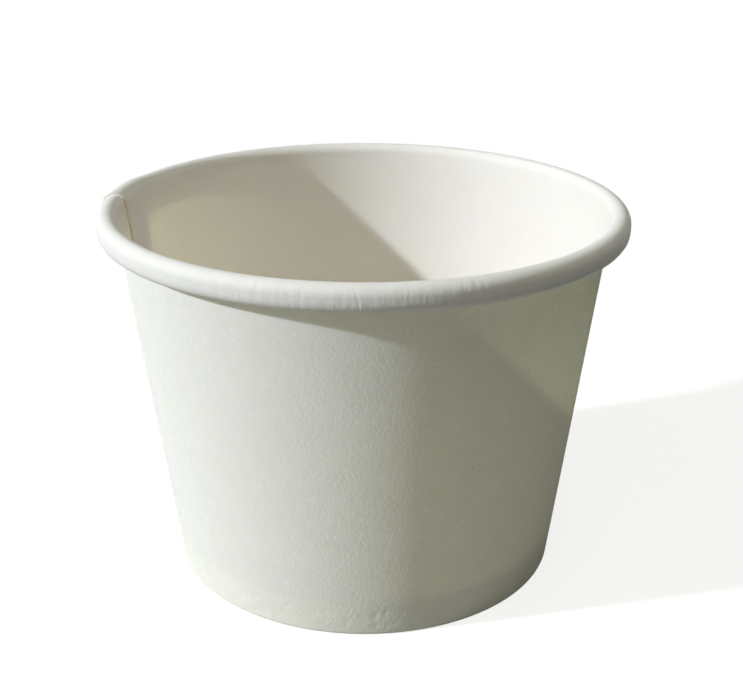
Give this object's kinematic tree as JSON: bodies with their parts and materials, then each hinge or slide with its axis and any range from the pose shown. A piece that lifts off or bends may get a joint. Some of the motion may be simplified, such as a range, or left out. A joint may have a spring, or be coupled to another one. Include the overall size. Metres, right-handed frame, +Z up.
{
  "type": "paper soup container",
  "caption": "Tapered round paper container with a rolled rim, a lap-sealed side seam, a hemmed foot and a recessed base, for serving and carrying soup.",
  "frame": {"origin": "middle of the foot, on the surface that the container stands on", "axes": "+Z up along the container's axis, -Y towards the picture's viewer, +X to the viewer's right"},
  "size_m": [0.1153, 0.115, 0.0829],
  "materials": {
    "wall_card": "off-white card, plain fibrous outside, thin glossy coating inside",
    "base_card": "off-white card with a thin glossy coating"
  },
  "bodies": {
    "root": {"side_wall": "wall_card", "base_disc": "base_card"}
  },
  "joints": []
}
